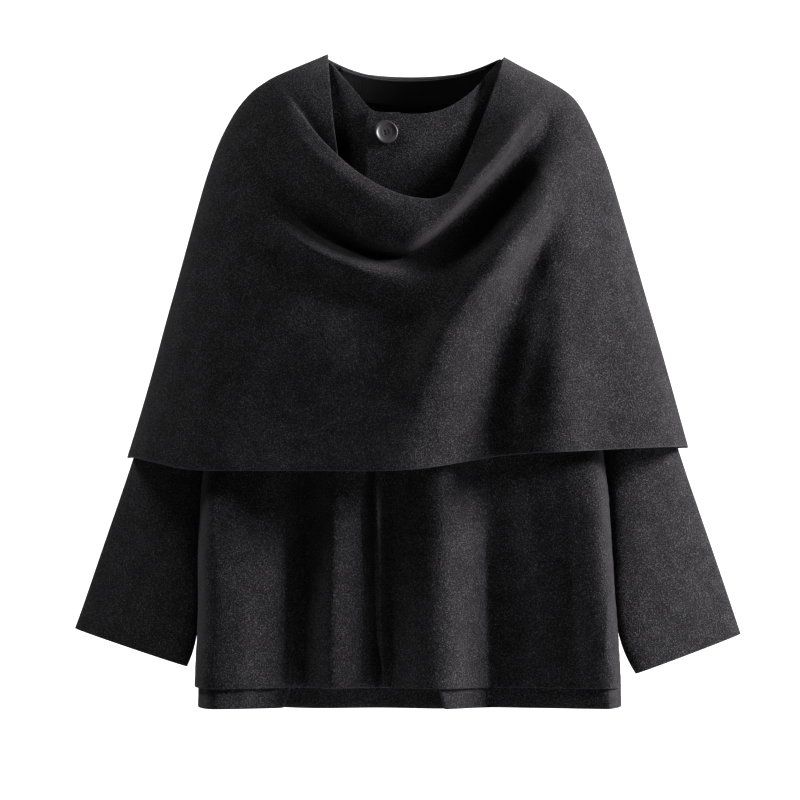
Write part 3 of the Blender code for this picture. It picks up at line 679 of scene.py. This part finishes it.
# The cowl's swags, in millimetres. Paths run from the viewer's left to the right, so above is the side
# towards the neck.
capeFrontFolds = [
    # on the wearer's left, the cowl turns under along a sharp edge, with a dark hollow below it
    {"path": [(-6, -184), (43, -151), (70, -127), (108, -84), (140, -52), (153, -19)],
     "above": 16, "below": 5, "out": 4.0, "fade": 0.3},
    {"path": [(4, -196), (52, -162), (82, -134), (119, -92), (149, -58), (162, -26)],
     "above": 9, "below": 22, "out": -10.0, "fade": 0.3},
    # broad ridge from the left shoulder to the hem, steep towards the hollow and gentle beyond
    {"path": [(5, -400), (16, -322), (38, -268), (65, -230), (86, -208), (113, -154), (140, -106),
              (162, -52)],
     "above": 15, "below": 32, "out": 15.0, "fade": 0.25},
    # raises the valley beyond that ridge, which is shallow
    {"path": [(100, -410), (108, -343), (120, -290), (133, -230), (150, -170)],
     "above": 14, "below": 16, "out": 9.0, "fade": 0.2},
    # soft roll of the cowl's edge on the wearer's right
    {"path": [(-138, -22), (-124, -52), (-103, -78), (-80, -95), (-26, -130), (20, -138)],
     "above": 7, "below": 16, "out": 4.0, "fade": 0.35},
    # hollow above the second swag, and the swag's own crest
    {"path": [(-138, -100), (-104, -148), (-72, -170), (-42, -186), (-11, -188), (24, -184)],
     "above": 24, "below": 8, "out": -6.0, "fade": 0.3},
    {"path": [(-136, -118), (-106, -166), (-74, -188), (-43, -204), (-11, -206), (34, -198)],
     "above": 6, "below": 20, "out": 4.0, "fade": 0.3},
]
capeFrontSlide = {"x": -60, "z": -230, "reachX": 95, "reachZ": 60, "up": 16.0}
capeBackCreases = table(
    creaseColumns,
    ("back", -90, 6, -150, -60, -6, 12, -1.4),
    ("back", 94, 8, 160, -58, 6, 13, -1.6),
    ("back", -210, -220, -236, -400, -5, 18, 2.0),
    ("back", -60, -180, -76, -390, 6, 20, -2.2),
    ("back", 70, -200, 60, -400, -6, 18, 2.0),
    ("back", 190, -210, 230, -395, 6, 18, -2.0),
)

# What each panel is cut from: the rectangle that holds it, in metres, and its own share of that.
# sewnToZ is the height down to which its side seam is closed, also in metres.
panels = {
    "front_left": {"creases": frontLeftCreases, "levels": 3, "sewnToZ": -0.62,
                   "flatM": (0.37, 0.71), "areaM2": 0.208},
    "front_right": {"creases": frontRightCreases, "sewnToZ": -0.62, "flatM": (0.30, 0.70), "areaM2": 0.162},
    "back": {"creases": backCreases, "sewnToZ": -0.62, "flatM": (1.06, 0.73), "areaM2": 0.400},
    "cape_front": {"creases": capeFrontCreases, "folds": capeFrontFolds, "slide": capeFrontSlide,
                   "relaxedBelowZ": -195, "sewnToZ": -0.48, "flatM": (0.97, 0.52), "areaM2": 0.310},
    "cape_back": {"creases": capeBackCreases, "sewnToZ": -0.48, "flatM": (0.90, 0.47), "areaM2": 0.284},
    "sleeve_left": {"creases": sleeveLeftCreases, "flatM": (0.42, 0.66), "areaM2": 0.170},
    "sleeve_right": {"creases": sleeveRightCreases, "flatM": (0.42, 0.66), "areaM2": 0.169},
}


def makePanels():
    for node, panel in panels.items():
        piece = copyPanel(node, node + "_wool")
        markRim(piece)
        if "sewnToZ" in panel:
            closeSeam(piece, panel["sewnToZ"])
        smoothPanel(piece, panel.get("levels", clothShape["levels"]))
        paintRimHighlight(piece)
        outward = sleeveOutward if node.startswith("sleeve") else bodyOutward
        creasePanel(piece, panel["creases"], outward)
        if "slide" in panel:
            relaxPanel(piece, panel["relaxedBelowZ"])
            slidePanel(piece, panel["slide"])
            foldPanel(piece, panel["folds"])
        if node.startswith("sleeve"):
            turnSleeve(piece)
        if node.startswith("front") or node == "back":
            squareSide(piece)
        finishCloth(piece, node, woolCloth)


def makeFacing():
    piece = copyPanel("back_neck_facing", "back_neck_facing_twill")
    markRim(piece)
    smoothPanel(piece, clothShape["levels"])
    paintRimHighlight(piece)
    finishCloth(piece, "back_neck_facing", facingCloth)


makePanels()
makeFacing()


# The button, drawn out from one profile and sewn on.

button = {
    "radiusMm": 12.8,
    "thickMm": 4.2,
    "rimMm": 2.4,
    "dishMm": 1.3,
    "grooveMm": 0.25,
    "edgeMm": 0.9,
    "holeRadiusMm": 1.15,
    "holeSpreadMm": 2.4,
    "holeTurnDegrees": 22.0,
    "holeSides": 24,
    "drillMm": 20.0,
    "wornMm": 0.12,
    "wornDegrees": 40.0,
    "smoothDegrees": 35.0,
    "sides": 96,
    "looksTowards": (0.2, -1, 0.1),     # roughly, to tell its face from its back
}
buttonThread = {
    "radiusMm": 0.28,
    "strandGapMm": 0.5,
    "deepMm": 2.4,              # how far each strand goes down its hole
    "liftMm": 0.3,              # and how high it lies over the dish
    "unevenMm": 0.1,
    "shankRadiusMm": 1.7,
    "shankTopMm": 0.2,
    "shankMm": 2.2,
    "weldMm": 0.01,
    "smoothDegrees": 50.0,
}


def buttonFrame():
    # the CAD button's own place: its middle, its face's direction and an upright in the face
    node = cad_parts["button"]
    points = [node.matrix_world @ vert.co for vert in node.data.vertices]
    lowest = Vector([min(p[i] for p in points) for i in range(3)])
    highest = Vector([max(p[i] for p in points) for i in range(3)])
    middle = (lowest + highest) / 2
    faces = [node.matrix_world.to_3x3() @ face.normal * face.area for face in node.data.polygons]
    roughly = Vector(button["looksTowards"])
    out = sum((normal for normal in faces if normal.normalized().dot(roughly) > 0.9), Vector())
    out.normalize()
    upright = (Vector((0, 0, 1)) - out * out.z).normalized()
    turned = Matrix((upright.cross(out), upright, out)).transposed().to_4x4()
    turned.translation = middle - out * button["thickMm"] / 2 * mm
    return turned


def drawOut(name, profile, place):
    # a disc drawn out ring by ring, along a profile of (radius, height) in millimetres
    (radius, height), *rings = profile
    deselectAll()
    bpy.ops.mesh.primitive_circle_add(vertices=button["sides"], radius=radius * mm, fill_type="NGON",
                                      location=(0, 0, height * mm))
    thing = bpy.context.object
    thing.name = thing.data.name = name
    settle(thing)
    bpy.ops.object.mode_set(mode="EDIT")
    bpy.ops.mesh.select_all(action="SELECT")
    for nextRadius, nextHeight in rings:
        rise = (0, 0, (nextHeight - height) * mm)
        bpy.ops.mesh.extrude_region_move(TRANSFORM_OT_translate={"value": rise})
        share = nextRadius / radius
        bpy.ops.transform.resize(value=(share, share, 1), center_override=(0, 0, nextHeight * mm))
        radius, height = nextRadius, nextHeight
    bpy.ops.mesh.select_all(action="SELECT")
    bpy.ops.mesh.normals_make_consistent(inside=False)
    bpy.ops.object.mode_set(mode="OBJECT")
    thing.matrix_world = place
    return thing


def holePlaces():
    turn = math.radians(button["holeTurnDegrees"])
    spots = [turn + math.pi * (0.25 + i / 2) for i in range(4)]
    return [Vector((math.cos(a), math.sin(a), 0)) * button["holeSpreadMm"] * mm for a in spots]


def makeButton():
    place = buttonFrame()
    r, t, rim, dish = (button[key] for key in ("radiusMm", "thickMm", "rimMm", "dishMm"))
    edge, groove = button["edgeMm"], button["grooveMm"]
    # from the back's edge up round the rim and down into the dish
    profile = [
        (r - 1.8, 0), (r - 0.4, t * 0.2), (r, t * 0.45), (r, t - edge), (r - edge * 0.35, t - edge * 0.3),
        (r - edge, t - 0.05), (r - rim + 0.9, t), (r - rim + 0.4, t - 0.06), (r - rim - 0.2, t - 0.35),
        (r - rim - 0.9, t - dish + groove * 2), (r - rim - 1.6, t - dish + 0.15), (r * 0.45, t - dish),
    ]
    face = drawOut("button_face", profile, place)
    for spot in holePlaces():
        bpy.ops.mesh.primitive_cylinder_add(vertices=button["holeSides"], radius=button["holeRadiusMm"] * mm,
                                            depth=button["drillMm"] * mm)
        drill = bpy.context.object
        drill.matrix_world = place @ Matrix.Translation(spot)
        cut = face.modifiers.new("hole", "BOOLEAN")
        cut.operation = "DIFFERENCE"
        cut.object = drill
        applyModifiers(face)
        bpy.data.objects.remove(drill)
    bevel = face.modifiers.new("worn edges", "BEVEL")
    bevel.width = button["wornMm"] * mm
    bevel.segments = 2
    bevel.limit_method = "ANGLE"
    bevel.angle_limit = math.radians(button["wornDegrees"])
    applyModifiers(face)
    settle(face)
    makeActive(face)
    bpy.ops.object.shade_smooth_by_angle(angle=math.radians(button["smoothDegrees"]))
    face.data.materials.append(resin)
    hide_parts("button")
    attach(face, "root")
    print("button made")


def makeButtonThread():
    # two stitches across the holes, each of two strands, and the shank under the button
    place = buttonFrame()
    spots = holePlaces()
    top = (button["thickMm"] - button["dishMm"]) * mm
    data = bpy.data.curves.new("button_thread", "CURVE")
    data.dimensions = "3D"
    data.bevel_depth = buttonThread["radiusMm"] * mm
    data.bevel_resolution = 2
    data.resolution_u = 6
    data.use_fill_caps = True
    deep = Vector((0, 0, buttonThread["deepMm"] * mm))
    for start, end in ((spots[0], spots[1]), (spots[2], spots[3])):
        beside = (end - start).cross(Vector((0, 0, 1))).normalized() * buttonThread["strandGapMm"] / 2 * mm
        for sign in (-1, 1):
            aside = beside * sign
            lift = Vector((0, 0, (buttonThread["liftMm"] + buttonThread["unevenMm"] * sign) * mm))
            path = [
                start + aside - deep, start + aside + lift, (start + end) / 2 + aside * 1.3 + lift * 1.4,
                end + aside + lift, end + aside - deep,
            ]
            strand = data.splines.new("NURBS")
            strand.points.add(len(path) - 1)
            for point, spot in zip(strand.points, path):
                point.co = (*(spot + Vector((0, 0, top))), 1.0)
            strand.use_endpoint_u = True
            strand.order_u = 3
    strands = bpy.data.objects.new("button_thread", data)
    bpy.context.scene.collection.objects.link(strands)
    strands.matrix_world = place
    makeActive(strands)
    bpy.ops.object.convert(target="MESH")
    strands = bpy.context.object
    bpy.ops.object.mode_set(mode="EDIT")
    bpy.ops.mesh.select_all(action="SELECT")
    bpy.ops.mesh.remove_doubles(threshold=buttonThread["weldMm"] * mm)
    bpy.ops.mesh.normals_make_consistent(inside=False)
    bpy.ops.object.mode_set(mode="OBJECT")
    # wound thread between cloth and button, narrowest a little below the button
    r, tall = buttonThread["shankRadiusMm"], buttonThread["shankMm"]
    waist = [(r * 1.2, -tall), (r * 0.85, -tall * 0.7), (r * 0.8, -tall * 0.4), (r, buttonThread["shankTopMm"])]
    shank = drawOut("button_shank", waist, place)
    deselectAll()
    shank.select_set(True)
    strands.select_set(True)
    bpy.context.view_layer.objects.active = strands
    bpy.ops.object.join()
    settle(strands)
    makeActive(strands)
    bpy.ops.object.shade_smooth_by_angle(angle=math.radians(buttonThread["smoothDegrees"]))
    strands.data.materials.append(sewingThread)
    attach(strands, "root")
    print("button sewn on")


makeButton()
makeButtonThread()
